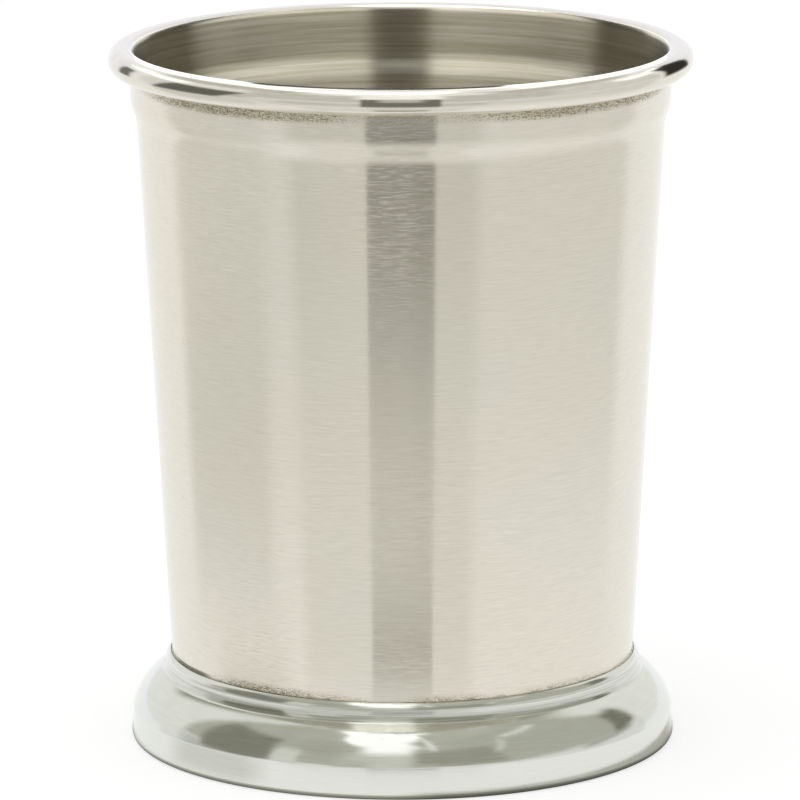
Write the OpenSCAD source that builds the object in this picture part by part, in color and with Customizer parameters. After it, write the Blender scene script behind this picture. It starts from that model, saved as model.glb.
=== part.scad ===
// Julep cup: a drawn, tapered metal cup with a curled rim and a stepped shoulder,
// pushed into a hollow moulded foot ring and soldered there.
// Millimetres, +Z up, origin on the resting face at the axis of the cup.

/* [Rim] */
// Outside diameter over the curled rim
rim_d = 88.9; // [84:0.1:94]
// Diameter of the curl in section
curl_d = 3.9; // [3.5:0.1:4.4]
// How far the circle of the curl reaches in past the outer face of the wall
curl_tuck = 0.55; // [0.35:0.05:0.65]
// Radius of the inner face where the wall turns out into the curl
turn_r = 1.1; // [0.9:0.05:1.8]

/* [Cup] */
// Height from the resting face to the top of the rim
cup_h = 107.5; // [98:0.5:118]
// Thickness of the cup's sheet
wall = 0.6; // [0.5:0.05:0.8]
// Depth of the shoulder's upper edge below the top of the rim
collar_h = 7.4; // [6.5:0.1:12]
// How far the shoulder steps in from the collar
shoulder_in = 1; // [0.6:0.1:1.6]
// Radius of both bends of the shoulder
shoulder_r = 6; // [4:0.1:8]
// Taper of the wall, in degrees from upright
taper = 3.2; // [2.4:0.1:4]
// Radius of the bend between wall and bottom
corner_r = 3; // [2:0.1:4]
// Width of the flat ring round the raised panel in the bottom
flat_w = 6; // [4:0.5:9]
// How far the panel is raised
panel_up = 1.2; // [0.8:0.1:2]
// Radius of the bends at the panel's edge
panel_r = 3; // [2:0.1:4]

/* [Foot] */
// How far the foot stands out from the wall at its upper lip
foot_w = 6.3; // [4.5:0.05:8]
// Height of the foot's upper lip
foot_h = 13.6; // [12:0.1:17]
// Thickness of the foot's sheet
foot_wall = 0.7; // [0.5:0.05:0.85]
// How far the lip stands out from the wall
lip_w = 1; // [0.8:0.05:1.4]
// Height of the lip's rounded face
lip_h = 1.4; // [1.2:0.05:1.8]
// Width of the cove below the lip
cove_w = 0.45; // [0.3:0.05:0.8]
// Height of the cove
cove_h = 1.55; // [1.2:0.05:2]
// Height of the band under the ovolo, with its rolled edge
band_h = 4.8; // [3.8:0.1:5.4]
// Draft of the band, in degrees from upright
draft = 3; // [1:0.5:6]
// Radius of the rolled edge at the bottom
edge_r = 1; // [0.9:0.05:1.5]
// Radius of the soft edge between band and ovolo
soft_r = 1.5; // [1:0.1:2]
// Slope of the ovolo where it leaves the soft edge, in degrees from upright
ovolo_from = 17; // [12:1:22]
// Width of the turned-in hem under the flat of the cup's bottom
seat_w = 1.6; // [1:0.1:2.4]

/* [Solder] */
// Gap between the foot's lip and the wall, filled with solder
seam_gap = 0.15; // [0.1:0.01:0.25]
// How far the solder stays below the top of the lip
seam_drop = 0.2; // [0.1:0.05:0.4]
// Leg of the solder fillet inside the foot
fillet = 0.8; // [0.5:0.05:1]

/* [Hidden] */

// Clearance between the tip of the curl and the wall
curl_gap = 0.1;
// Largest turn between two points of a round stretch, in degrees
arc_step = 5;
// Facets of a full turn round the axis
turn_fn = 180;

// Rim
rim_r = rim_d / 2;
curl_r = curl_d / 2;
curl_c = [rim_r - curl_r, cup_h - curl_r];
collar_r = rim_r - curl_d + curl_tuck;
// The wall turns out level, and runs on to the top of the curl
turn_c = [collar_r - wall + turn_r, cup_h - turn_r];
curl_end = acos((curl_c[0] - collar_r - curl_gap) / curl_r);

// Shoulder: two bends of one radius, from the upright collar to the tapered wall
shoulder_a = acos((1 + cos(taper) - shoulder_in / shoulder_r) / 2);
shoulder_z = cup_h - collar_h;
neck_r = collar_r - shoulder_in;
neck_z = shoulder_z - shoulder_r * (2 * sin(shoulder_a) - sin(taper));
upper_c = [collar_r - shoulder_r, shoulder_z];
lower_c = [neck_r, neck_z] + shoulder_r * [cos(taper), -sin(taper)];

// Wall and bottom: the cup stands on the foot's hem
base_z = foot_wall;
corner_z = base_z + corner_r;
corner_c = [wall_at(corner_z - corner_r * sin(taper)) - corner_r * cos(taper), corner_z];
panel_a = acos(1 - panel_up / panel_r / 2);
panel_out = corner_c[0] - flat_w;
panel_in = panel_out - 2 * panel_r * sin(panel_a);

// Foot: each round stretch gets its radius from its width and height
foot_r = wall_at(foot_h) + foot_w;
lip_r = wall_at(foot_h) + lip_w;
lip_z = foot_h - lip_h;
lip_bend = bend(lip_w - seam_gap, lip_h);
cove_bend = bend(cove_w, cove_h);
edge_c = [foot_r - edge_r, edge_r];
band_bottom = edge_c + edge_r * [cos(draft), sin(draft)];
band_top = [band_bottom[0] - (band_h - band_bottom[1]) * tan(draft), band_h];
soft_c = band_top - soft_r * [cos(draft), sin(draft)];
// The ovolo starts with its slope at the soft edge and ends in the crease under the cove
ovolo_foot = soft_c + soft_r * [cos(ovolo_from), sin(ovolo_from)];
crease = [lip_r + cove_w, lip_z - cove_h];
ovolo_rise = crease - ovolo_foot;
ovolo_to = 2 * atan2(-ovolo_rise[0], ovolo_rise[1]) - ovolo_from;
ovolo_bend = norm(ovolo_rise) / 2 / sin((ovolo_to - ovolo_from) / 2);
ovolo_c = ovolo_foot - ovolo_bend * [cos(ovolo_from), sin(ovolo_from)];
hem_r = corner_c[0] - seat_w;

// Solder: the fillet behind the lip, and the part of the corner's bend that the hidden ring touches
solder_top = foot_h - seam_drop;
solder_low = lip_z - fillet / 2;
wedge_from = 15;
wedge_to = 45;

// Radius of the wall's outer face at height z
function wall_at(z) = neck_r - (neck_z - z) * tan(taper);

// Radius of an arc that starts upright and covers a width and a height
function bend(w, h) = (w * w + h * h) / w / 2;

// Angle that such an arc turns through
function swing(w, h) = atan2(h, bend(w, h) - w);

// Points of an arc from angle a to angle b
function arc(c, r, a, b) =
    let (n = ceil(abs(b - a) / arc_step))
    [for (i = [0:n]) c + r * [cos(a + (b - a) * i / n), sin(a + (b - a) * i / n)]];

function reversed(p) = [for (i = [len(p) - 1:-1:0]) p[i]];

// One face of the cup's sheet, at depth t behind its outer face
function cup_face(t) = concat(
    [[0, base_z + panel_up + t]],
    arc([panel_in, base_z + panel_up - panel_r], panel_r + t, 90, 90 - panel_a),
    arc([panel_out, base_z + panel_r], panel_r - t, 270 - panel_a, 270),
    arc(corner_c, corner_r - t, 270, 360 - taper),
    arc(lower_c, shoulder_r + t, 180 - taper, 180 - shoulder_a),
    arc(upper_c, shoulder_r - t, -shoulder_a, 0),
    arc(turn_c, turn_r - wall + t, 180, 90),
    arc(curl_c, curl_r - wall + t, 90, curl_end - 180)
);

// One face of the foot's sheet, at depth t behind its outer face
function foot_face(t) = concat(
    arc([lip_r - lip_bend, lip_z], lip_bend - t, swing(lip_w - seam_gap, lip_h), 0),
    arc([lip_r + cove_bend, lip_z], cove_bend + t, 180, 180 + swing(cove_w, cove_h)),
    arc(ovolo_c, ovolo_bend - t, ovolo_to, ovolo_from),
    arc(soft_c, soft_r - t, ovolo_from, draft),
    arc(edge_c, edge_r - t, draft, -90),
    [[hem_r, t]]
);

// Section of the foot, its lip trimmed to the taper of the wall
module foot_section() {
    difference() {
        polygon(concat(foot_face(0), reversed(foot_face(foot_wall))));
        polygon([
            [0, foot_h + foot_wall],
            [wall_at(foot_h + foot_wall) + seam_gap, foot_h + foot_wall],
            [wall_at(lip_z) + seam_gap, lip_z],
            [0, lip_z]
        ]);
    }
}

module cup_body() {
    color([0.76, 0.75, 0.71])
        rotate_extrude($fn = turn_fn)
            polygon(concat(cup_face(0), reversed(cup_face(wall))));
}

module foot_ring() {
    color([0.80, 0.81, 0.78])
        rotate_extrude($fn = turn_fn)
            foot_section();
}

// Solder in the gap behind the lip, with a fillet inside the foot
module seam_solder() {
    color([0.42, 0.36, 0.28])
        rotate_extrude($fn = turn_fn)
            difference() {
                polygon([
                    [wall_at(solder_top), solder_top],
                    [wall_at(solder_top) + seam_gap, solder_top],
                    [lip_r - foot_wall / 2, lip_z],
                    [wall_at(solder_low), solder_low]
                ]);
                foot_section();
            }
}

// Solder in the wedge between the cup's corner and the foot's hem
module base_solder() {
    color([0.62, 0.60, 0.56])
        rotate_extrude($fn = turn_fn)
            polygon(concat(
                arc(corner_c, corner_r, 270 + wedge_from, 270 + wedge_to),
                [
                    [corner_c[0] + corner_r * sin(wedge_to) + fillet / 2, base_z],
                    [corner_c[0] + corner_r * sin(wedge_from), base_z]
                ]
            ));
}

cup_body();
foot_ring();
seam_solder();
base_solder();
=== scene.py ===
"""Looks of the julep cup, laid out as a Blender add-on and run as a script.

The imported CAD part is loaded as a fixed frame. The drawn cup, the foot moulding and the
solder in its seam are modelled again in place with finer curves, and everything gets
procedural materials. Lengths are in metres, with the origin on the resting face.
"""

import math

import bpy
from bpy.props import FloatProperty, FloatVectorProperty, IntProperty, PointerProperty
from mathutils import Matrix, Vector


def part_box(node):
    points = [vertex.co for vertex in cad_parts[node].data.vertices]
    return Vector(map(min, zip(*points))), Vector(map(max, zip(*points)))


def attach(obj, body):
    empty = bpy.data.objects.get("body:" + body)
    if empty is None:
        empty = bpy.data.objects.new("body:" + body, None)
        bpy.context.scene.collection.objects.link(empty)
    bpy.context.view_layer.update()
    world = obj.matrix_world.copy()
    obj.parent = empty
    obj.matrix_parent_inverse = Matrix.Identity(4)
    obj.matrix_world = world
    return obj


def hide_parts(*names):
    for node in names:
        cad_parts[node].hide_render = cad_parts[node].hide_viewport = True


bl_info = {
    "name": "Julep cup",
    "version": (1, 0, 0),
    "blender": (4, 5, 0),
    "location": "View3D > Sidebar > Julep cup",
    "description": "Models and finishes a drawn metal julep cup on a moulded foot",
    "category": "Object",
}

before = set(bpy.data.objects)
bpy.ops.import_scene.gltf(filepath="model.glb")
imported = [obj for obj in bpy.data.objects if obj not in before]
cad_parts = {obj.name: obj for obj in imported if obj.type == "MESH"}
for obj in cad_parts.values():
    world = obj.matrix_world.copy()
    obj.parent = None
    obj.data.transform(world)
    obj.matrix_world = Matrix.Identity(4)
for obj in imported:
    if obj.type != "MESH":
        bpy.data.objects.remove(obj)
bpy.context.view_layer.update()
cup_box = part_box("cup_body")
foot_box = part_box("foot_ring")
seam_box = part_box("seam_solder")

MM = 0.001
SAME_POINT = 1e-7     # in a section, where two stretches of the sheet meet
SAME_RING = 2e-6      # in a spun shell, along its seam and at its pole
SMOOTH_BELOW = math.radians(35)
SENSOR = 36           # width in millimetres, to which the lens is given


def length(name, description, default, low, high):
    return FloatProperty(name=name, description=description, default=default,
                         min=low, max=high, precision=5, subtype="DISTANCE", unit="LENGTH")


def angle(name, description, degrees, low, high):
    return FloatProperty(name=name, description=description, default=math.radians(degrees),
                         min=math.radians(low), max=math.radians(high), subtype="ANGLE", unit="ROTATION")


def share(name, description, default, high=1.0):
    return FloatProperty(name=name, description=description, default=default, min=0.0, max=high, subtype="FACTOR")


def colour(name, description, default):
    return FloatVectorProperty(name=name, description=description, default=default,
                               size=3, min=0.0, max=1.0, subtype="COLOR")


class CupSizes(bpy.types.PropertyGroup):
    """Sizes of the drawn cup, as in the CAD model."""

    rim_r: length("Rim radius", "Outer radius of the curled rim", cup_box[1].x, 0.03, 0.06)
    top: length("Top", "Height of the rim above the table", cup_box[1].z, 0.08, 0.14)
    base: length("Base", "Height of the cup's lowest face above the table", cup_box[0].z, 0.0, 0.003)
    wall: length("Sheet", "Thickness of the cup's sheet", 0.6 * MM, 0.0004, 0.001)
    curl_d: length("Curl", "Diameter of the curl in section", 3.9 * MM, 0.003, 0.005)
    curl_tuck: length("Curl tuck", "How far the curl's circle reaches in past the wall", 0.55 * MM, 0.0002, 0.001)
    turn_r: length("Turn", "Radius of the inner face where the wall turns out into the curl", 1.1 * MM, 0.0007, 0.002)
    curl_gap: length("Curl gap", "Clearance between the tip of the curl and the wall", 0.1 * MM, 0.0, 0.0005)
    collar_h: length("Collar", "Depth of the shoulder's upper edge below the rim", 7.4 * MM, 0.005, 0.015)
    shoulder_in: length("Shoulder step", "How far the shoulder steps in", 1 * MM, 0.0005, 0.002)
    shoulder_r: length("Shoulder bends", "Radius of both bends of the shoulder", 6 * MM, 0.003, 0.01)
    taper: angle("Taper", "Taper of the wall from upright", 3.2, 1, 6)
    corner_r: length("Corner", "Radius of the bend between wall and bottom", 3 * MM, 0.002, 0.006)
    flat_w: length("Flat", "Width of the flat ring round the raised panel", 6 * MM, 0.003, 0.012)
    panel_up: length("Panel rise", "How far the panel is raised", 1.2 * MM, 0.0005, 0.003)
    panel_r: length("Panel bends", "Radius of the bends at the panel's edge", 3 * MM, 0.001, 0.006)
    turns: IntProperty(name="Facets round", description="Facets of a full turn round the axis",
                       default=240, min=48, max=360)


class FootSizes(bpy.types.PropertyGroup):
    """Sizes of the foot moulding and of the solder behind its lip, as in the CAD model."""

    foot_r: length("Foot radius", "Largest radius of the foot", foot_box[1].x, 0.03, 0.06)
    top: length("Foot height", "Height of the lip above the table", foot_box[1].z, 0.008, 0.02)
    wall: length("Sheet", "Thickness of the foot's sheet", 0.7 * MM, 0.0004, 0.001)
    lip_w: length("Lip width", "How far the lip stands out from the cup's wall", 1 * MM, 0.0005, 0.002)
    lip_h: length("Lip height", "Height of the lip's rounded face", 1.4 * MM, 0.001, 0.002)
    cove_w: length("Cove width", "Width of the cove below the lip", 0.45 * MM, 0.0002, 0.001)
    cove_h: length("Cove height", "Height of the cove", 1.55 * MM, 0.001, 0.002)
    band_h: length("Band", "Height of the band under the ovolo", 4.8 * MM, 0.003, 0.006)
    draft: angle("Draft", "Draft of the band from upright", 3, 0, 8)
    edge_r: length("Rolled edge", "Radius of the rolled edge at the bottom", 1 * MM, 0.0008, 0.002)
    soft_r: length("Soft edge", "Radius of the edge between band and ovolo", 1.5 * MM, 0.0008, 0.003)
    ovolo_from: angle("Ovolo slope", "Slope of the ovolo where it leaves the soft edge", 17, 8, 30)
    seat_w: length("Hem", "Width of the turned-in hem under the flat of the cup", 1.6 * MM, 0.001, 0.003)
    seam_gap: length("Seam", "Gap between the lip and the wall", 0.15 * MM, 0.00005, 0.0003)
    seam_drop: length("Seam drop", "How far the solder stays below the top of the lip", 0.05 * MM, 0.0, 0.0004)
    solder_grip: length("Solder grip", "How far the solder bites into the lip and the wall", 0.02 * MM, 0.0, 0.0001)
    solder_waves: length("Solder waves", "How uneven the top of the solder is", 0.05 * MM, 0.0, 0.0002)


class Finishes(bpy.types.PropertyGroup):
    """Colours and finishes of the metal."""

    steel: colour("Steel", "Colour of the satin steel", (0.757, 0.729, 0.645))
    warm: colour("Warm steel", "Colour of the steel where polishing left it warmer", (0.762, 0.722, 0.626))
    # Also the colour of the painted shadow of the open seam on the left
    stain_and_seam_shadow: colour("Stain", "Colour of the specks of residue under the rim and along the seam", (0.13, 0.098, 0.05))
    # Under the curl this film is also painted shade: the dark line under the bead
    residue_film_and_shade: colour("Tinge", "Colour of the thin film round the residue", (0.6, 0.54, 0.39))
    foot: colour("Foot", "Colour of the polished foot", (0.745, 0.76, 0.708))
    # Colour that the cove is darkened towards, in lines round the foot
    darker_cove: colour("Dimming", "Colour of the dimmer metal in the foot's cove", (0.36, 0.365, 0.31))
    seam: colour("Seam", "Colour of the solder drawn smooth in the seam", (0.64, 0.63, 0.56))
    # Also the colour of the painted shadow of the open seam on the left
    solder: colour("Solder", "Colour of the darkened solder", (0.1, 0.082, 0.06))
    satin: share("Satin roughness", "Roughness of the brushed wall", 0.15)
    inside: share("Inside roughness", "Roughness of the brushed inside", 0.28)
    polish: share("Polish roughness", "Roughness of the polished rim and foot", 0.11)
    grain: share("Grain", "Largest slope of the brushed grain", 0.9, 4)


class Studio(bpy.types.PropertyGroup):
    """Camera and light of the photograph."""

    camera_y: length("Camera distance", "Distance of the camera in front of the cup's axis", 1.04718, 0.3, 3)
    camera_z: length("Camera height", "Height of the camera above the table", 0.27271, 0, 1)
    pitch: angle("Pitch", "How far the camera looks down", 11.884, -10, 60)
    roll: angle("Roll", "Roll of the camera", -0.159, -5, 5)
    lens: FloatProperty(name="Lens", description="Focal length in millimetres, on a sensor 36 mm wide",
                        default=313.94, min=20, max=600)
    shift: FloatProperty(name="Shift", description="Sideways shift of the view", default=-0.0021, min=-0.1, max=0.1)
    floor: length("Floor", "Width of the floor", 6, 1, 20)
    paper: colour("Paper", "Colour of the floor", (0.98, 0.98, 0.98))
    softbox: share("Softbox", "Brightness of the softbox, where 1 is white", 2.2, 4)
    gap: share("Gap", "Share of blue that the dark gap in front of the cup keeps", 0.88)
    room: share("Room", "Share of blue that the dark parts of the room keep", 0.76)


# ---------------------------------------------------------------- modelling


def select_nothing():
    """Leaves edit mode and deselects all, because an operator acts on what is selected."""
    if bpy.context.object and bpy.context.object.mode != "OBJECT":
        bpy.ops.object.mode_set(mode="OBJECT")
    bpy.ops.object.select_all(action="DESELECT")


def pick(kind, test):
    """Selects, in edit mode, the vertices or faces whose place passes the test."""
    mesh = bpy.context.object.data
    bpy.ops.mesh.select_mode(type=kind)
    bpy.ops.mesh.select_all(action="DESELECT")
    bpy.ops.object.mode_set(mode="OBJECT")
    for part in mesh.vertices if kind == "VERT" else mesh.polygons:
        place = part.co if kind == "VERT" else part.center
        part.select = test(place)
    bpy.ops.object.mode_set(mode="EDIT")


def start_sheet(name, corner, wall):
    """A square of the sheet's section, with its lower inner corner at the given x and z.
    Its outer end edge is left selected."""
    select_nothing()
    middle = (corner[0] + wall / 2, 0, corner[1] + wall / 2)
    bpy.ops.mesh.primitive_plane_add(size=wall, location=middle, rotation=(math.pi / 2, 0, 0))
    piece = bpy.context.object
    piece.name = piece.data.name = name
    bpy.ops.object.transform_apply(location=True, rotation=True, scale=True)
    bpy.ops.object.mode_set(mode="EDIT")
    pick("VERT", lambda co: co.x > middle[0])
    return piece


def run(offset, steps):
    """Extrudes the end edge of the sheet straight on, by an offset in x and z and in even steps."""
    for _ in range(steps):
        bpy.ops.mesh.extrude_region_move(
            TRANSFORM_OT_translate={"value": (offset[0] / steps, 0, offset[1] / steps)})


def bend(centre, turn, step):
    """Turns the end edge of the sheet about a centre in x and z, anticlockwise where positive, in
    steps of an angle at most."""
    steps = max(1, math.ceil(abs(turn) / step))
    bpy.ops.mesh.spin(steps=steps, angle=turn, center=(centre[0], 0, centre[1]), axis=(0, 1, 0))


def spin_round(turns):
    """Spins the section's outline round Z and closes it to a shell."""
    piece = bpy.context.object
    bpy.ops.mesh.select_all(action="SELECT")
    bpy.ops.mesh.remove_doubles(threshold=SAME_POINT)
    bpy.ops.object.mode_set(mode="OBJECT")
    section = len(piece.data.polygons)
    bpy.ops.object.mode_set(mode="EDIT")
    bpy.ops.mesh.select_mode(type="FACE")
    bpy.ops.mesh.select_all(action="SELECT")
    bpy.ops.mesh.region_to_loop()
    bpy.ops.mesh.spin(steps=turns, angle=math.tau, center=(0, 0, 0), axis=(0, 0, 1))
    bpy.ops.mesh.select_mode(type="FACE")
    bpy.ops.mesh.select_all(action="DESELECT")
    bpy.ops.object.mode_set(mode="OBJECT")
    for face in piece.data.polygons[:section]:
        face.select = True
    bpy.ops.object.mode_set(mode="EDIT")
    bpy.ops.mesh.delete(type="FACE")
    bpy.ops.mesh.select_all(action="SELECT")
    bpy.ops.mesh.remove_doubles(threshold=SAME_RING)
    bpy.ops.mesh.normals_make_consistent(inside=False)


def finish_piece(piece, slot, *nodes):
    """Smooths a piece and puts it in the place of the CAD nodes named. Its slot is not used."""
    bpy.ops.object.mode_set(mode="OBJECT")
    bpy.ops.object.shade_smooth_by_angle(angle=SMOOTH_BELOW)
    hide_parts(*nodes)
    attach(piece, "root")


def polar(centre, radius, turn):
    """A point in x and z at a radius round a centre, turned up from x."""
    return Vector((centre[0] + radius * math.cos(turn), centre[1] + radius * math.sin(turn)))


def cup_plan(s):
    """Centres and ends of the cup's bends in x and z, worked out from its sizes."""
    curl_r = s.curl_d / 2
    curl = Vector((s.rim_r - curl_r, s.top - curl_r))
    collar_r = s.rim_r - s.curl_d + s.curl_tuck
    turn = Vector((collar_r - s.wall + s.turn_r, s.top - s.turn_r))
    curl_end = math.acos((curl.x - collar_r - s.curl_gap) / curl_r)
    swing = math.acos((1 + math.cos(s.taper) - s.shoulder_in / s.shoulder_r) / 2)
    shoulder_z = s.top - s.collar_h
    neck = Vector((collar_r - s.shoulder_in,
                   shoulder_z - s.shoulder_r * (2 * math.sin(swing) - math.sin(s.taper))))
    upper = Vector((collar_r - s.shoulder_r, shoulder_z))
    lower = neck + s.shoulder_r * Vector((math.cos(s.taper), -math.sin(s.taper)))

    def wall_at(z):
        return neck.x - (neck.y - z) * math.tan(s.taper)

    corner_z = s.base + s.corner_r
    corner_out = wall_at(corner_z - s.corner_r * math.sin(s.taper))
    corner = Vector((corner_out - s.corner_r * math.cos(s.taper), corner_z))
    panel_a = math.acos(1 - s.panel_up / s.panel_r / 2)
    panel_out = corner.x - s.flat_w
    panel_in = panel_out - 2 * s.panel_r * math.sin(panel_a)
    return {
        "curl": curl, "curl_turn": curl_end - 1.5 * math.pi, "collar_r": collar_r, "turn": turn,
        "swing": swing, "neck": neck, "upper": upper, "lower": lower, "wall_at": wall_at,
        "corner": corner, "panel_a": panel_a, "panel_in": panel_in, "panel_out": panel_out,
    }


class JULEP_OT_cup(bpy.types.Operator):
    """Draws the cup from one sheet: raised panel, corner, tapered wall, shoulder and curled rim"""

    bl_idname = "julep.cup"
    bl_label = "Drawn cup"

    def execute(self, context):
        s = context.scene.julep_cup
        p = cup_plan(s)
        fine, small = math.radians(3), math.radians(5)
        wall_foot = polar(p["corner"], s.corner_r, -s.taper)
        cup = start_sheet("drawn_cup", (0, s.base + s.panel_up), s.wall)
        run((p["panel_in"] - s.wall, 0), 6)
        bend((p["panel_in"], s.base + s.panel_up - s.panel_r), -p["panel_a"], small)
        bend((p["panel_out"], s.base + s.panel_r), p["panel_a"], small)
        run((p["corner"].x - p["panel_out"], 0), 3)
        bend(p["corner"], math.pi / 2 - s.taper, small)
        run(p["neck"] - wall_foot, 22)
        bend(p["lower"], s.taper - p["swing"], fine)
        bend(p["upper"], p["swing"], fine)
        run((0, p["turn"].y - p["upper"].y), 4)
        bend(p["turn"], -math.pi / 2, small)
        run((p["curl"].x - p["turn"].x, 0), 3)
        bend(p["curl"], p["curl_turn"], fine * 1.5)
        spin_round(s.turns)
        finish_piece(cup, "satin_steel", "cup_body")
        outside, inside, rim = range(3)
        for finish in (satin_steel(), satin_inside(), polished_rim()):
            cup.data.materials.append(finish)
        curl_low = p["curl"].y - s.curl_d / 2
        curl_in = p["collar_r"] + s.curl_gap / 2
        polished_above = s.top - 0.35 * s.turn_r
        bottom_top = s.base + s.panel_up + s.wall / 2
        level_enough = 0.7
        for face in cup.data.polygons:
            at, normal = face.center, face.normal
            inward = normal.x * at.x + normal.y * at.y < 0
            if at.z > polished_above or (at.z > curl_low and math.hypot(at.x, at.y) > curl_in):
                face.material_index = rim
            elif at.z > bottom_top:
                face.material_index = inside if inward or normal.z > level_enough else outside
            else:
                face.material_index = inside if normal.z > 0 else outside
        return {"FINISHED"}


class JULEP_OT_foot(bpy.types.Operator):
    """Moulds the foot from one sheet: hem, rolled edge, band, ovolo, cove and lip"""

    bl_idname = "julep.foot"
    bl_label = "Foot moulding"

    def execute(self, context):
        s, cup = context.scene.julep_foot, context.scene.julep_cup
        p = cup_plan(cup)
        wall_at = p["wall_at"]
        fine, small = math.radians(2), math.radians(4)
        lip_r, lip_z = wall_at(s.top) + s.lip_w, s.top - s.lip_h

        def arc_of(w, h):
            """Radius and turn of an arc that starts upright and covers a width and a height."""
            radius = (w * w + h * h) / w / 2
            return radius, math.atan2(h, radius - w)

        lip_bend, lip_turn = arc_of(s.lip_w - s.seam_gap, s.lip_h)
        cove_bend, cove_turn = arc_of(s.cove_w, s.cove_h)
        edge = Vector((s.foot_r - s.edge_r, s.edge_r))
        band_bottom = polar(edge, s.edge_r, s.draft)
        band_top = Vector((band_bottom.x - (s.band_h - band_bottom.y) * math.tan(s.draft), s.band_h))
        soft = band_top - s.soft_r * Vector((math.cos(s.draft), math.sin(s.draft)))
        ovolo_foot = polar(soft, s.soft_r, s.ovolo_from)
        crease = Vector((lip_r + s.cove_w, lip_z - s.cove_h))
        rise = crease - ovolo_foot
        ovolo_to = 2 * math.atan2(-rise.x, rise.y) - s.ovolo_from
        ovolo_bend = rise.length / 2 / math.sin((ovolo_to - s.ovolo_from) / 2)
        ovolo = polar(ovolo_foot, -ovolo_bend, s.ovolo_from)
        hem_r = p["corner"].x - s.seat_w

        foot = start_sheet("foot_moulding", (hem_r, 0), s.wall)
        run((edge.x - hem_r - s.wall, 0), 4)
        bend(edge, math.pi / 2 + s.draft, small * 1.5)
        run(band_top - band_bottom, 4)
        bend(soft, s.ovolo_from - s.draft, fine)
        bend(ovolo, ovolo_to - s.ovolo_from, fine)
        bend(crease, cove_turn - ovolo_to, small * 2)
        bend((lip_r + cove_bend, lip_z), -cove_turn, fine * 1.5)
        bend((lip_r - lip_bend, lip_z), lip_turn, small)
        # The lip is trimmed to the taper of the wall, a seam's gap away from it
        pick("FACE", lambda co: co.z > lip_z - s.lip_h)
        bpy.ops.mesh.bisect(plane_co=(wall_at(s.top) + s.seam_gap, 0, s.top),
                            plane_no=(math.cos(cup.taper), 0, -math.sin(cup.taper)), clear_inner=True)
        spin_round(cup.turns)
        finish_piece(foot, "polished_steel", "foot_ring")
        foot.data.materials.append(polished_foot())
        return {"FINISHED"}


class JULEP_OT_solder(bpy.types.Operator):
    """Runs solder into the seam between the foot's lip and the wall, with a fillet inside the foot"""

    bl_idname = "julep.solder"
    bl_label = "Solder"

    def execute(self, context):
        s, cup = context.scene.julep_foot, context.scene.julep_cup
        wall_at = cup_plan(cup)["wall_at"]
        low, knee, high = seam_box[0].z, s.top - s.lip_h, s.top - s.seam_drop
        thick = s.seam_gap + 2 * s.solder_grip
        start_sheet("seam_fill", (wall_at(low) - s.solder_grip, low), thick)
        pick("VERT", lambda co: co.z > low + thick / 2)
        run((wall_at(knee) - wall_at(low), knee - low - thick), 2)
        run((wall_at(high) - wall_at(knee), high - knee), 3)
        # The fillet widens from its lower tip to the back of the lip
        for z, widen in ((low, -0.5), (knee, 1.0)):
            pick("VERT", lambda co: abs(co.z - z) < thick / 4 and co.x > wall_at(z))
            bpy.ops.transform.translate(value=(widen * thick, 0, 0))
        spin_round(cup.turns)
        pick("VERT", lambda co: co.z > high - thick / 4)
        bpy.ops.transform.vertex_random(offset=s.solder_waves, seed=5)
        seam = bpy.context.object
        finish_piece(seam, "solder", "seam_solder")
        seam.data.materials.append(seam_solder())
        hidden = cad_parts["base_solder"]
        hidden.data.materials.clear()
        hidden.data.materials.append(dark_solder())
        return {"FINISHED"}


# ---------------------------------------------------------------- materials


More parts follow.
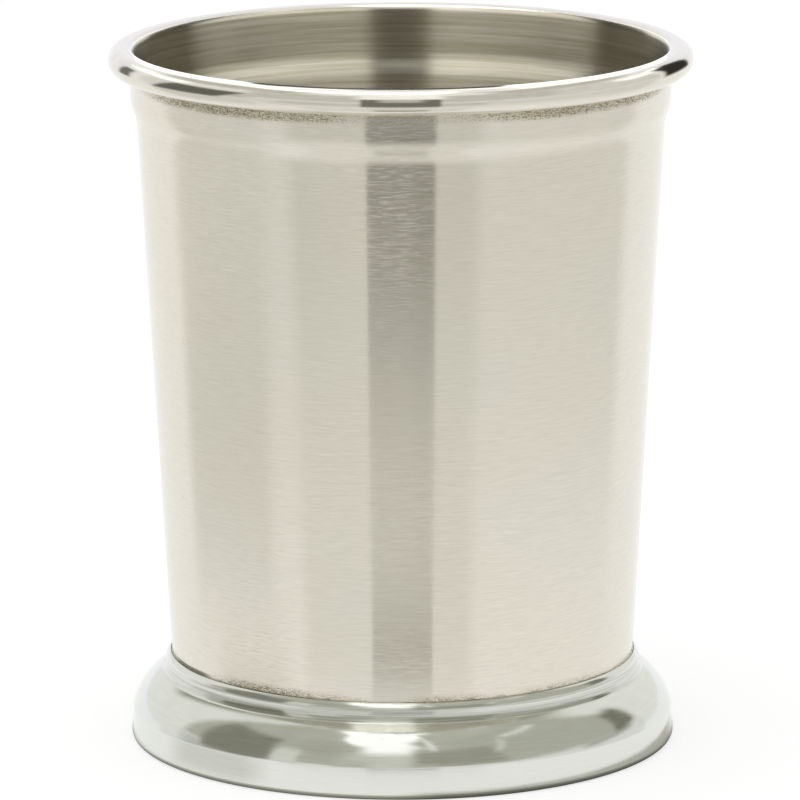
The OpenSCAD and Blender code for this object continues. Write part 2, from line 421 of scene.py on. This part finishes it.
class Nodes:
    """Adds nodes to a material or the world and links them, with sockets given by name."""

    def __init__(self, owner, metal=True):
        if isinstance(owner, str):
            owner = bpy.data.materials.new(owner)
        owner.use_nodes = True
        self.owner, self.tree = owner, owner.node_tree
        if metal:
            self.shader = self.tree.nodes["Principled BSDF"]
        else:
            self.tree.nodes.clear()

    def add(self, kind, inputs=(), **settings):
        node = self.tree.nodes.new("ShaderNode" + kind)
        for key, value in settings.items():
            setattr(node, key, value)
        for socket, value in dict(inputs).items():
            self.put(node, socket, value)
        return node

    def put(self, node, socket, value):
        if isinstance(value, bpy.types.NodeSocket):
            self.tree.links.new(value, node.inputs[socket])
        else:
            node.inputs[socket].default_value = value

    def math(self, operation, a, b=0.0, c=0.0):
        return self.add("Math", {0: a, 1: b, 2: c}, operation=operation).outputs[0]

    def vector(self, operation, *values):
        return self.add("VectorMath", dict(enumerate(values)), operation=operation).outputs["Vector"]

    def size_of(self, vector):
        return self.add("VectorMath", {0: vector}, operation="LENGTH").outputs["Value"]

    def bearing_of(self, x, y):
        """Azimuth of a place in degrees from the front."""
        return self.math("MULTIPLY", self.math("ARCTAN2", x, self.math("MULTIPLY", y, -1.0)), math.degrees(1))

    def step(self, value, low, high, out_low=0.0, out_high=1.0, kind="SMOOTHSTEP"):
        """A smooth step from out_low to out_high as the value goes from low to high."""
        node = self.add("MapRange", {"Value": value, "From Min": low, "From Max": high,
                                     "To Min": out_low, "To Max": out_high}, interpolation_type=kind)
        return node.outputs["Result"]

    def between(self, factor, a, b):
        """A number between a and b."""
        return self.add("Mix", {0: factor, 2: a, 3: b}, data_type="FLOAT").outputs[0]

    def mix(self, factor, a, b, blend="MIX"):
        node = self.add("Mix", data_type="RGBA", blend_type=blend)
        self.put(node, 0, factor)
        for socket, value in ((6, a), (7, b)):
            self.put(node, socket, value if isinstance(value, bpy.types.NodeSocket) else (*value, 1))
        return node.outputs[2]

    def toned(self, base, red, green, blue):
        """A colour times levels for red, green and blue."""
        return self.mix(1.0, base, self.add("CombineColor", {0: red, 1: green, 2: blue}).outputs[0], "MULTIPLY")

    def noise(self, vector, scale=1.0, detail=2.0, roughness=0.5):
        """A level between 0 and 1, with a scale in features a metre."""
        node = self.add("TexNoise", {"Vector": vector, "Scale": scale, "Detail": detail, "Roughness": roughness})
        return node.outputs["Fac"]

    def shape(self):
        """Object coordinates, the bearing in degrees from the front, a coordinate that grows along the
        profile, the normal, and the direction across the hairlines."""
        self.place = self.add("TexCoord").outputs["Object"]
        self.x, self.y, self.z = self.add("SeparateXYZ", {"Vector": self.place}).outputs
        radius = self.size_of(self.add("CombineXYZ", {"X": self.x, "Y": self.y}).outputs[0])
        self.profile = self.math("ADD", self.z, radius)
        self.bearing = self.bearing_of(self.x, self.y)
        round_ = self.add("CombineXYZ", {"X": self.math("MULTIPLY", self.y, -1.0), "Y": self.x}).outputs[0]
        self.normal = self.add("NewGeometry").outputs["Normal"]
        self.across = self.vector("CROSS_PRODUCT", self.normal, round_)

    def turned(self, along, across):
        """Coordinates for a pattern drawn out round the axis, in features a metre along and across."""
        return self.add("CombineXYZ", {
            "X": self.math("MULTIPLY", self.x, along), "Y": self.math("MULTIPLY", self.y, along),
            "Z": self.math("MULTIPLY", self.profile, across)}).outputs[0]

    def bump(self, height, distance, normal=None):
        node = self.add("Bump", {"Height": height, "Strength": 1.0, "Distance": distance})
        if normal:
            self.put(node, "Normal", normal)
        return node.outputs["Normal"]

    def patch(self, u, v, sides, heights, soft, lean=0):
        """1 within a patch of two coordinates and 0 outside, with borders that are soft by an amount in
        each coordinate, or one for both. Its sides lean as v grows."""
        inside = []
        middle = (heights[0] + heights[1]) / 2
        along = self.math("MULTIPLY_ADD", self.math("SUBTRACT", v, middle), -lean, u)
        soft = soft if isinstance(soft, tuple) else (soft, soft)
        for value, (low, high), fade in ((along, sides, soft[0]), (v, heights, soft[1])):
            off = self.math("ABSOLUTE", self.math("SUBTRACT", value, (low + high) / 2))
            half = (high - low) / 2
            inside.append(self.step(off, half - fade, half + fade, 1.0, 0.0))
        return self.math("MULTIPLY", *inside)

    def seen_from(self, radius):
        """Azimuth in degrees from the front, and reach along the ground, at which upright metal at this
        radius shows a spot of a card to someone in front. Also the spot's distance from the axis and
        its height, both in the card's own coordinates."""
        x, y, z = self.add("SeparateXYZ", {0: self.add("TexCoord").outputs["Object"]}).outputs

        def distance(a, b):
            return self.math("SQRT", self.math("ADD", self.math("MULTIPLY", a, a), self.math("MULTIPLY", b, b)))

        far = distance(x, y)
        bearing = self.math("ARCTAN2", x, self.math("MULTIPLY", y, -1.0))
        nearness = self.math("DIVIDE", radius, far)
        half = self.math("MULTIPLY", bearing, 0.5)
        for _ in range(5):
            off = self.math("ARCSINE", self.math("MULTIPLY", self.math("SINE", half), nearness))
            half = self.math("MULTIPLY", self.math("ADD", bearing, off), 0.5)
        side = self.math("MULTIPLY_ADD", self.math("SINE", half), -radius, x)
        ahead = self.math("MULTIPLY_ADD", self.math("COSINE", half), radius, y)
        return self.math("MULTIPLY", half, math.degrees(2)), distance(side, ahead), far, z

    def mirrored(self, ring, height, tube, down, middle):
        """Azimuth from the front and elevation, in degrees, in which a round moulding shows a spot of a
        card to someone in front who looks down by an angle. The moulding's section is a circle about
        (ring, height), and the card's own origin lies at the height middle. Also the spot's distance
        from the axis."""
        x, y, z = self.add("SeparateXYZ", {0: self.add("TexCoord").outputs["Object"]}).outputs
        above = self.math("ADD", z, middle - height)
        spot = self.add("CombineXYZ", {0: x, 1: self.math("MULTIPLY", y, -1.0), 2: above}).outputs[0]
        level, to_viewer = (1, 1, 0), (0, math.cos(down), math.sin(down))
        facing = self.vector("NORMALIZE", spot)
        for _ in range(6):
            out = self.vector("NORMALIZE", self.vector("MULTIPLY", facing, level))
            core = self.vector("MULTIPLY", out, (ring, ring, ring))
            metal = self.vector("MULTIPLY_ADD", facing, (tube, tube, tube), core)
            ray = self.vector("NORMALIZE", self.vector("SUBTRACT", spot, metal))
            facing = self.vector("NORMALIZE", self.vector("ADD", ray, to_viewer))
        side, ahead, up = self.add("SeparateXYZ", {0: ray}).outputs
        azimuth = self.math("MULTIPLY", self.math("ARCTAN2", side, ahead), math.degrees(1))
        elevation = self.math("MULTIPLY", self.math("ARCSINE", up), math.degrees(1))
        return azimuth, elevation, self.size_of(self.vector("MULTIPLY", spot, level))

    def ramp(self, value, stops):
        """A smooth curve through stops of a value and its level."""
        low, high = stops[0][0], stops[-1][0]
        node = self.add("ValToRGB")
        node.color_ramp.interpolation = "EASE"
        for _ in stops[2:]:
            node.color_ramp.elements.new(0.5)
        for stop, (at, level) in zip(node.color_ramp.elements, stops):
            stop.position, stop.color = (at - low) / (high - low), (level, level, level, 1)
        self.put(node, 0, self.step(value, low, high, 0.0, 1.0, "LINEAR"))
        return node.outputs[0]

    def tilted(self, slope, amount):
        """The surface's normal, leaning along the profile by a slope that a pattern gives."""
        lean = self.math("MULTIPLY", self.math("SUBTRACT", slope, 0.5), amount)
        part = self.add("VectorMath", {0: self.across, "Scale": lean}, operation="SCALE").outputs[0]
        return self.vector("NORMALIZE", self.vector("ADD", part, self.normal))

    def finish(self, **sockets):
        """Sets the shader's sockets, named with _ for a space, and returns the material."""
        for socket, value in sockets.items():
            self.put(self.shader, socket.replace("_", " "), value)
        return self.owner


def steel_body(n, coarse, grain):
    """Colour, roughness and normal of brushed steel: hairlines round the axis, duller scratches among
    them and faint clouds."""
    f = bpy.context.scene.julep_finish
    n.shape()
    hairs = n.noise(n.turned(260 * coarse, 6500 * coarse), detail=4.0, roughness=0.7)
    fine = n.noise(n.turned(330 * coarse, 30000 * coarse), detail=2.0, roughness=0.7)
    clouds = n.noise(n.place, scale=38, detail=3.0)
    base = n.mix(n.step(clouds, 0.35, 0.7), f.steel, f.warm)
    tone = n.step(hairs, 0.25, 0.75, 0.95, 1.04)
    base = n.toned(base, tone, tone, tone)
    slope = n.math("MULTIPLY_ADD", hairs, 0.25, n.math("MULTIPLY", fine, 0.75))
    scratches = n.noise(n.turned(520 * coarse, 8000 * coarse), detail=2.0, roughness=0.6)
    rough = n.step(scratches, 0.45, 0.7, f.satin, f.satin * 1.6)
    return base, rough, n.tilted(slope, grain)


def satin_steel():
    """The brushed wall, with residue under the curl and above the seam, and pits. The residue's film under the curl
    is partly painted shade, and the black mark at the seam on the left is a painted shadow of the open seam.
    """
    scene = bpy.context.scene
    f, cup, foot = scene.julep_finish, scene.julep_cup, scene.julep_foot
    n = Nodes("Satin steel")
    base, rough, normal = steel_body(n, 1.0, f.grain)
    # How thick the residue is, with the painted shade under the curl: in clouds, and thickest between some bearings
    clouds = n.noise(n.place, scale=75, detail=3.0)
    curl_z = cup.top - cup.curl_d

    def between_bearings(low, high, soft):
        return n.patch(n.bearing, n.z, (low, high), (0, 1), (soft, 1))

    most = n.math("MAXIMUM", between_bearings(-64, -16, 12), between_bearings(14, 66, 12))
    under_rim_residue_and_shade = n.math("MULTIPLY", n.step(n.z, curl_z - 2.5 * MM, curl_z - 0.9 * MM),
                       n.math("MULTIPLY", n.step(clouds, 0.3, 0.6, 0.6, 1.0), n.between(most, 0.35, 1.0)))
    worst = between_bearings(-47, -20, 9)
    at_seam = n.math("MULTIPLY", n.step(n.z, foot.top + 2.2 * MM, foot.top - 0.2 * MM),
                     n.math("MULTIPLY", n.step(clouds, 0.35, 0.6, 0.5, 1.0), n.between(worst, 0.45, 1.0)))
    reach = n.math("MAXIMUM", under_rim_residue_and_shade, at_seam)
    # It is a thin film with fine dark specks. Under the curl the film is also painted shade: the dark line under the
    # bead
    base = n.mix(n.step(reach, 0.1, 0.9, 0.0, 0.9), base, f.residue_film_and_shade)
    grit = n.noise(n.turned(4400, 9800), detail=2.0, roughness=0.6)
    specks = n.step(n.math("ADD", grit, n.math("MULTIPLY", reach, 0.17)), 0.56, 0.74)
    specks = n.math("MULTIPLY", specks, n.step(reach, 0.12, 0.5))
    # Single pits, a few on the whole wall, and a black painted shadow of the open seam on the left, which goes on in
    # the solder
    pit = n.add("TexVoronoi", {"Vector": n.place, "Scale": 120.0}).outputs["Distance"]
    specks = n.math("MAXIMUM", specks, n.step(pit, 0.012, 0.024, 1.0, 0.0))
    open_seam_shadow = n.patch(n.bearing, n.z, (-76, -56), (0, foot.top + 0.5 * MM), (4, 0.12 * MM))
    specks = n.math("MAXIMUM", specks, open_seam_shadow)
    base = n.mix(n.math("MULTIPLY", specks, 0.7), base, f.stain_and_seam_shadow)
    crust = n.step(n.noise(n.turned(1100, 6500), detail=2.0, roughness=0.6), 0.46, 0.68, 0.0, 0.5)
    crust = n.math("MULTIPLY", n.step(reach, 0.1, 0.6), crust)
    dull = n.math("MAXIMUM", n.math("MULTIPLY", specks, 0.3), crust)
    return n.finish(Base_Color=base, Metallic=1.0, Roughness=n.math("ADD", rough, dull), Normal=normal,
                    Tangent=n.across, Anisotropic=1.0)


def satin_inside():
    """The inside, brushed more coarsely. Its colour is darkened and browned all over, in streaks round the axis:
    painted shade of the hollow and a painted tint of the metal reflecting itself.
    """
    f = bpy.context.scene.julep_finish
    n = Nodes("Satin steel inside")
    base, _, normal = steel_body(n, 0.7, f.grain * 3)
    streaks = n.noise(n.turned(28, 1300), detail=4.0, roughness=0.65)
    # Darker and browner than the outside: painted shade of the hollow and a painted tint of its own reflections, in
    # streaks
    tone = n.step(streaks, 0.32, 0.68, 0.53, 0.78, "LINEAR")
    blue_in_painted_shade = n.math("MULTIPLY", tone, n.step(streaks, 0.35, 0.65, 0.84, 0.95))
    base = n.toned(base, tone, n.math("MULTIPLY", tone, 0.985), blue_in_painted_shade)
    return n.finish(Base_Color=base, Metallic=1.0, Roughness=f.inside, Normal=normal,
                    Tangent=n.across, Anisotropic=1.0)


def polished_rim():
    """The polished curl, with traces of the brushing and faint waves."""
    f = bpy.context.scene.julep_finish
    n = Nodes("Polished rim")
    n.shape()
    hairs = n.noise(n.turned(300, 9000), detail=2.0)
    waves = n.noise(n.place, scale=160, detail=2.0)
    tone = n.step(hairs, 0.25, 0.75, 0.95, 1.04)
    base = n.toned(f.steel, tone, tone, tone)
    normal = n.bump(waves, 0.02 * MM, n.bump(hairs, 0.003 * MM))
    return n.finish(Base_Color=base, Metallic=1.0, Roughness=f.polish * 1.3, Normal=normal,
                    Tangent=n.across, Anisotropic=0.8)


def polished_foot():
    """The polished foot, with fine hairlines and faint waves, and darker in its cove, in lines round the foot."""
    f, foot = bpy.context.scene.julep_finish, bpy.context.scene.julep_foot
    n = Nodes("Polished foot")
    n.shape()
    hairs = n.noise(n.turned(200, 9000), detail=3.0, roughness=0.6)
    waves = n.noise(n.place, scale=120, detail=2.0)
    tone = n.step(hairs, 0.25, 0.75, 0.97, 1.03)
    base = n.toned(f.foot, tone, tone, tone)
    # Darker in the cove, in lines round the foot
    lip_z = foot.top - foot.lip_h
    cove = n.patch(n.z, n.z, (lip_z - foot.cove_h, lip_z + 0.4 * MM), (0, 1), (0.25 * MM, 0.1))
    lines = n.noise(n.turned(25, 5200), detail=3.0, roughness=0.7)
    base = n.mix(n.math("MULTIPLY", cove, n.step(lines, 0.36, 0.6, 0.2, 0.85)), base, f.darker_cove)
    rough = n.step(hairs, 0.3, 0.7, f.polish * 0.8, f.polish * 1.4)
    normal = n.bump(waves, 0.03 * MM, n.bump(hairs, 0.002 * MM))
    return n.finish(Base_Color=base, Metallic=1.0, Roughness=rough, Normal=normal,
                    Tangent=n.across, Anisotropic=0.7)


def seam_solder():
    """Solder drawn smooth in the seam, grimed in places, and black on the left: a painted shadow of the open seam
    there.
    """
    f = bpy.context.scene.julep_finish
    n = Nodes("Seam solder")
    n.shape()
    lumps = n.noise(n.place, scale=900, detail=3.0)
    grime = n.noise(n.place, scale=170, detail=4.0, roughness=0.7)
    # Painted shadow of the open seam on the left, broken up by the lumps
    open_seam_shadow = n.patch(n.bearing, n.z, (-76, -57), (0, 1), (5, 1))
    open_seam_shadow = n.math("MULTIPLY", open_seam_shadow, n.step(lumps, 0.25, 0.4))
    grime_and_seam_shadow = n.math("MAXIMUM", n.step(grime, 0.5, 0.68, 0.0, 0.7), open_seam_shadow)
    base = n.mix(grime_and_seam_shadow, f.seam, f.solder)
    rough = n.between(grime_and_seam_shadow, 0.28, 0.7)
    return n.finish(Base_Color=base, Metallic=1.0, Roughness=rough, Normal=n.bump(lumps, 0.05 * MM))


def dark_solder():
    """Dull solder that the foot hides."""
    f = bpy.context.scene.julep_finish
    n = Nodes("Dark solder")
    n.shape()
    lumps = n.noise(n.place, scale=900, detail=3.0)
    base = n.mix(n.step(lumps, 0.3, 0.7), f.solder, [1.6 * c for c in f.solder])
    rough = n.step(lumps, 0.3, 0.7, 0.5, 0.75)
    return n.finish(Base_Color=base, Metallic=0.6, Roughness=rough, Normal=n.bump(lumps, 0.1 * MM))


# ---------------------------------------------------------------- studio


def paint(n, u, v, patches):
    """Lays patches on a clear card, one over the other, and returns its level and cover. A patch
    holds its sides, heights, softness, lean and level."""
    level, cover = 0.5, 0.0
    for sides, heights, soft, lean, shade in patches:
        inside = n.patch(u, v, sides, heights, soft, lean)
        level = n.between(inside, level, shade)
        cover = n.between(inside, cover, 1.0)
    return level, cover


def seen_rays(n):
    """1 for camera, glossy and transmission rays, and 0 for all others, which light the table."""
    path = n.add("LightPath").outputs
    return n.math("MAXIMUM", n.math("MAXIMUM", path["Is Camera Ray"], path["Is Glossy Ray"]),
                  path["Is Transmission Ray"])


def turn_over(card):
    """Makes a card's faces look the other way."""
    select_nothing()
    card.select_set(True)
    bpy.context.view_layer.objects.active = card
    bpy.ops.object.mode_set(mode="EDIT")
    bpy.ops.mesh.select_all(action="SELECT")
    bpy.ops.mesh.flip_normals()
    bpy.ops.object.mode_set(mode="OBJECT")


def add_plate(name, size, height=0):
    """A level square that faces up, with its middle on the axis."""
    select_nothing()
    bpy.ops.mesh.primitive_plane_add(size=size, location=(0, 0, height))
    plate = bpy.context.object
    plate.name = name
    return plate


def add_ring(name, radius, low, high):
    """A ring round the axis that faces inwards."""
    select_nothing()
    bpy.ops.mesh.primitive_cylinder_add(vertices=128, radius=radius, depth=high - low, end_fill_type="NOTHING",
                                        location=(0, 0, (low + high) / 2))
    ring = bpy.context.object
    ring.name = name
    turn_over(ring)
    return ring


def add_floor(studio):
    """The white table. Reflections see the gap in front of it, and its shades."""
    floor = add_plate("floor", studio.floor)
    n = Nodes("Floor", metal=False)
    wall_r = 0.0385
    azimuth, _, far, _ = n.seen_from(wall_r)
    # Behind the cup it is white, and in front it darkens with the distance
    level = n.step(far, 0.08, 0.3, 1.0, 0.82)
    level = n.between(n.step(n.math("ABSOLUTE", azimuth), 112, 124, 1.0, 0.0), 1.0, level)

    def shaded(level, sides, distances, soft, shade):
        return n.math("MULTIPLY", level, n.between(n.patch(azimuth, far, sides, distances, soft), 1.0, shade))

    level = shaded(level, (-49, 34), (-2, 2), (4.5, 0.1), n.ramp(far, (
        (0.065, 1.0), (0.085, 0.84), (0.11, 0.86), (0.17, 0.97), (0.24, 0.95), (0.32, 0.84), (0.5, 0.8))))
    level = shaded(level, (-120, -66), (0.12, 0.27), (5, 0.03), 0.86)
    # The gap between two parts of the room makes the dark strip on the wall. It ends 1 m from the cup.
    gap = n.ramp(far, (
        (0.073, 1.0), (0.086, 0.18), (0.1, 0.42), (0.113, 0.74), (0.15, 0.88),
        (0.2, 0.78), (0.26, 0.42), (0.36, 0.17), (0.9, 0.1)))
    level = n.between(n.patch(azimuth, far, (-14.9, 14.9), (-1, 1), (0.9, 0.1)), level, gap)
    # Shade close to the foot, at its edge and under it
    level = shaded(level, (-107, -61), (0.046, 0.074), (9, 0.008), 0.76)
    level = shaded(level, (5, 150), (0, 0.0474), (12, 0.0006), 0.5)
    level = n.math("MULTIPLY", level, n.step(far, 0.0405, 0.0448, 0.1, 1.0))
    glossy = n.add("LightPath").outputs["Is Glossy Ray"]
    strength = n.between(glossy, 1.0, level)
    green, blue = (n.step(strength, 0, 1, least, 1, "LINEAR") for least in (0.98, 0.82))
    tint = n.add("CombineColor", {0: 1, 1: green, 2: blue}).outputs[0]
    light = n.add("Emission", {"Color": tint, "Strength": strength}).outputs[0]
    paper = n.add("BsdfDiffuse", {"Color": (*studio.paper, 1)}).outputs[0]
    # To the camera the paper keeps part of its own shading, and with it the cup's shadow
    own_light = n.between(glossy, n.math("MULTIPLY", seen_rays(n), 0.7), 1.0)
    n.add("OutputMaterial", {0: n.add("MixShader", {0: own_light, 1: paper, 2: light}).outputs[0]})
    floor.data.materials.append(n.owner)


def finish_card(card, n, level, cover, blue):
    """Makes a card give off light from its front alone, for reflections alone. The darker it is,
    the less blue it keeps, down to the share given."""
    tint = n.add("CombineColor", {0: 1, 1: 1, 2: n.step(level, 0, 1, blue, 1, "LINEAR")}).outputs[0]
    light = n.add("Emission", {"Color": tint, "Strength": level}).outputs[0]
    back = n.add("NewGeometry").outputs["Backfacing"]
    front = n.add("Math", {0: cover, 1: back}, operation="SUBTRACT", use_clamp=True).outputs[0]
    clear = n.add("BsdfTransparent").outputs[0]
    n.add("OutputMaterial", {0: n.add("MixShader", {0: front, 1: clear, 2: light}).outputs[0]})
    card.data.materials.append(n.owner)
    card.visible_camera = card.visible_diffuse = card.visible_shadow = False


def add_foot_sky(blue):
    """What the foot reflects of the room above the table: a ceiling that ends round the cup's wall."""
    ceiling, wall_r, clear_r = 0.1, 0.0455, 0.0442
    sky = add_plate("foot_sky", 1.7, ceiling)
    turn_over(sky)
    n = Nodes("Foot sky", metal=False)
    # One circle stands in for the section of the ovolo and the band
    azimuth, elevation, far = n.mirrored(
        ring=0.0343, height=0.0023, tube=0.00985, down=math.radians(14.5), middle=ceiling)
    level, cover = paint(n, azimuth, elevation, (
        ((-168, 168), (17, 76.5), (3, 2), 0, 0.5),            # the dim room
        ((22, 122), (68, 84), (5, 3), 0, 0.55),
        ((-200, -112), (-20, 66), (4, 5), -0.2, 0.9),         # pale walls behind, left and right
        ((-138, -123), (50, 72), (4, 3), 0, 0.85),
        ((124, 200), (-20, 52), (4, 6), 0, 0.9),
        ((-185, -140), (26, 74), (5, 4), 0.45, 0.3),
        ((134, 200), (73, 100), (4, 3), 0, 1.1),
        ((-57, -33), (38, 60), (4, 4), -0.3, 0.44),
        ((-68, -28), (56, 100), (4, 4), -1.9, 1.35),          # the bright middle
        ((-22, 6), (43, 100), (6, 9), 0, 1.3),
        ((-10, 20), (69, 100), (6, 4), 0.5, 1.35),
        ((-27, 5), (8, 38), (6, 6), 0, 0.68),
        ((-30, -15), (6, 30), (4, 5), 0, 0.55),
        ((-103, -62), (9, 50), (3, 3), -0.35, 0.26),          # furniture on the left
        ((-59, -46), (-20, 38), (2, 6), -0.1, 0.76),
        ((6, 47), (19, 49), (3, 3), 0, 0.37),                 # and on the right
        ((5, 16), (12, 24), (3, 3), 0, 0.52),
        ((16, 21), (50, 76), (2, 4), 0.1, 0.9),
        ((53, 57), (38, 58), (2, 4), 0.8, 0.72),
        ((70, 112), (59, 62), (4, 1.2), 0, 0.9),
        ((84, 116), (12, 17), (4, 2), -0.1, 0.45),
        ((112, 127), (15, 38), (3, 4), 0.55, 0.22),
    ))
    finish_card(sky, n, level, n.math("MULTIPLY", cover, n.step(far, clear_r, wall_r)), blue)


def add_rim_sky(blue):
    """What the bead of the rim reflects: a ring close round it."""
    low, high = 0.1032, 0.1652
    sky = add_ring("rim_sky", 0.0472, low, high)
    n = Nodes("Rim sky", metal=False)
    bead_r, bead_z = 0.0442, 0.1058
    azimuth, reach, _, z = n.seen_from(bead_r)
    above = n.math("ADD", z, (low + high) / 2 - bead_z)
    elevation = n.math("MULTIPLY", n.math("ARCTAN2", above, reach), math.degrees(1))
    level, cover = paint(n, azimuth, elevation, (
        ((-62, 62), (12, 95), (6, 4), 0, 0.66),               # the dim room, and pale walls beside it
        ((-118, -62), (34, 66), (6, 4), 0, 0.95),
        ((62, 118), (12, 66), (6, 4), 0, 0.79),
        ((-168, -46), (66, 95), (6, 4), 0, 0.6),              # the ceiling over them
        ((46, 168), (70, 95), (6, 4), 0, 0.6),
        ((-160, -98), (40, 62), (6, 4), 0, 1.5),              # windows behind and the light in front
        ((100, 160), (40, 62), (7, 4), 0, 1.5),
        ((-45, 42), (70, 95), (8, 4), 0, 1.1),
        ((-17, 17), (41, 95), (4, 4), 0, 1.15),
        ((-15.2, 15.2), (-36, 41), 1.3, 0, 0.2),              # the gap in front
        ((-8, 8), (12, 42), 3, 0, 0.55),
        ((-106, -68), (-21, 36), (3, 6), 0.25, 0.15),         # dark furniture on both sides
        ((-143, -130), (-9, 29), 3, 0, 0.2),
        ((126, 155), (-5, 52), (3, 5), 0.1, 0.03),
    ))
    finish_card(sky, n, level, cover, blue)


def add_mouth_sky(blue):
    """What the inside sees over the edge of the mouth: a dark arc in front and a low one behind."""
    sky = add_ring("mouth_sky", 0.0403, 0.1077, 0.1877)
    n = Nodes("Mouth sky", metal=False)
    x, y, z = n.add("SeparateXYZ", {0: n.add("TexCoord").outputs["Object"]}).outputs
    whole, upper, low = (-0.1, 0.1), (0.0, 0.1), (-0.1, -0.01)
    level, cover = paint(n, n.bearing_of(x, y), z, (
        ((-170, 170), whole, (10, 0.01), 0, 1.5),             # bright all round
        ((-19.5, 19.5), whole, (1.0, 0.01), 0, 0.02),         # the arc in front, wider above
        ((-25, 25), upper, (3.0, 0.01), 0, 0.0),
        ((156, 184), low, (1.5, 0.002), 0, 0.02),             # the low arc behind, in two halves
        ((-184, -144), low, (1.5, 0.002), 0, 0.02),
    ))
    finish_card(sky, n, level, cover, blue)


def add_card(name, corners, strength, edge, blue=1.0):
    """A card that only reflections see, through four corners that run anticlockwise as seen from its
    front, with a border that is soft by a share of the card."""
    select_nothing()
    bpy.ops.mesh.primitive_plane_add(size=1)
    card = bpy.context.object
    card.name = name
    for vertex, corner in zip((card.data.vertices[i] for i in (0, 1, 3, 2)), corners):
        vertex.co = corner
    n = Nodes(name, metal=False)
    u, v, _ = n.add("SeparateXYZ", {0: n.add("TexCoord").outputs["UV"]}).outputs
    half = edge / 2
    finish_card(card, n, strength, n.patch(u, v, (half, 1 - half), (half, 1 - half), half), blue)
    return card


def add_world():
    """White. Reflections see a grey room in front of the cup, darker on the left, and a cool white
    behind it."""
    world = bpy.context.scene.world or bpy.data.worlds.new("Studio")
    bpy.context.scene.world = world
    n = Nodes(world, metal=False)
    x, y, z = n.add("SeparateXYZ", {0: n.add("TexCoord").outputs["Generated"]}).outputs
    bearing = n.bearing_of(x, y)
    azimuth = n.math("ABSOLUTE", bearing)
    left = n.patch(bearing, z, (-107, -62), (-1, 0.25), (5, 0.05))
    room = n.math("MULTIPLY", n.step(azimuth, 121, 126, 0.85, 1.0), n.between(left, 1.0, 0.68))
    glossy = n.add("LightPath").outputs["Is Glossy Ray"]
    strength = n.between(glossy, 1.0, room)
    cool = n.step(n.math("MULTIPLY", glossy, azimuth), 118, 140, 1.0, 1.06)
    tint = n.add("CombineColor", {0: 1, 1: 1, 2: cool}).outputs[0]
    n.add("OutputWorld", {0: n.add("Background", {"Color": tint, "Strength": strength}).outputs[0]})


def add_camera(studio):
    """The photograph's camera, in front of the cup and looking down on it."""
    select_nothing()
    tilt = Matrix.Rotation(math.pi / 2 - studio.pitch, 3, "X") @ Matrix.Rotation(studio.roll, 3, "Z")
    bpy.ops.object.camera_add(location=(0, -studio.camera_y, studio.camera_z), rotation=tilt.to_euler())
    camera = bpy.context.object
    camera.data.lens = studio.lens
    camera.data.sensor_width = SENSOR
    camera.data.shift_x = studio.shift
    bpy.context.scene.camera = camera


def add_softbox(studio):
    """The light above the cup, the only card that lights the table too."""
    left, right, front, back, high = -0.42, 0.14, -0.76, 0.35, 0.8
    corners = [(left, back, high), (right, back, high), (right, front, high), (left, front, high)]
    add_card("softbox", corners, studio.softbox, 0.12).visible_diffuse = True


def add_gap_front(blue):
    """The dark gap in the room in front of the cup, above the table."""
    half, front, low, high = 0.104, -0.39, 0.03, 0.14
    corners = [(-half, front, low), (half, front, low), (half, front, high), (-half, front, high)]
    add_card("gap_front", corners, 0.18, 0.02, blue)


class JULEP_OT_studio(bpy.types.Operator):
    """Sets up the floor, the soft light, the cards that the metal reflects, and the camera"""

    bl_idname = "julep.studio"
    bl_label = "Studio"

    def execute(self, context):
        studio = context.scene.julep_studio
        context.scene.view_settings.view_transform = "Standard"
        add_world()
        add_floor(studio)
        add_softbox(studio)
        add_foot_sky(studio.room)
        add_rim_sky(studio.gap)
        add_mouth_sky(studio.room)
        add_gap_front(studio.gap)
        add_camera(studio)
        return {"FINISHED"}


class JULEP_PT_sidebar(bpy.types.Panel):
    """Sizes, finishes and studio of the julep cup"""

    bl_label = "Julep cup"
    bl_space_type = "VIEW_3D"
    bl_region_type = "UI"
    bl_category = "Julep cup"

    def draw(self, context):
        for title, settings, operators in (
            ("Cup", context.scene.julep_cup, ("julep.cup",)),
            ("Foot", context.scene.julep_foot, ("julep.foot", "julep.solder")),
            ("Finishes", context.scene.julep_finish, ()),
            ("Studio", context.scene.julep_studio, ("julep.studio",)),
        ):
            box = self.layout.box()
            box.label(text=title)
            for name in settings.__annotations__:
                box.prop(settings, name)
            for name in operators:
                box.operator(name)


GROUPS = {"julep_cup": CupSizes, "julep_foot": FootSizes, "julep_finish": Finishes, "julep_studio": Studio}
OPERATORS = (JULEP_OT_cup, JULEP_OT_foot, JULEP_OT_solder, JULEP_OT_studio)


def register():
    for name, group in GROUPS.items():
        bpy.utils.register_class(group)
        setattr(bpy.types.Scene, name, PointerProperty(type=group))
    for cls in (*OPERATORS, JULEP_PT_sidebar):
        bpy.utils.register_class(cls)


def unregister():
    for cls in (JULEP_PT_sidebar, *reversed(OPERATORS)):
        bpy.utils.unregister_class(cls)
    for name, group in reversed(GROUPS.items()):
        delattr(bpy.types.Scene, name)
        bpy.utils.unregister_class(group)


def main():
    """Builds the pieces and the stage."""
    register()
    bpy.ops.julep.cup()
    bpy.ops.julep.foot()
    bpy.ops.julep.solder()
    bpy.ops.julep.studio()


if __name__ == "__main__":
    main()
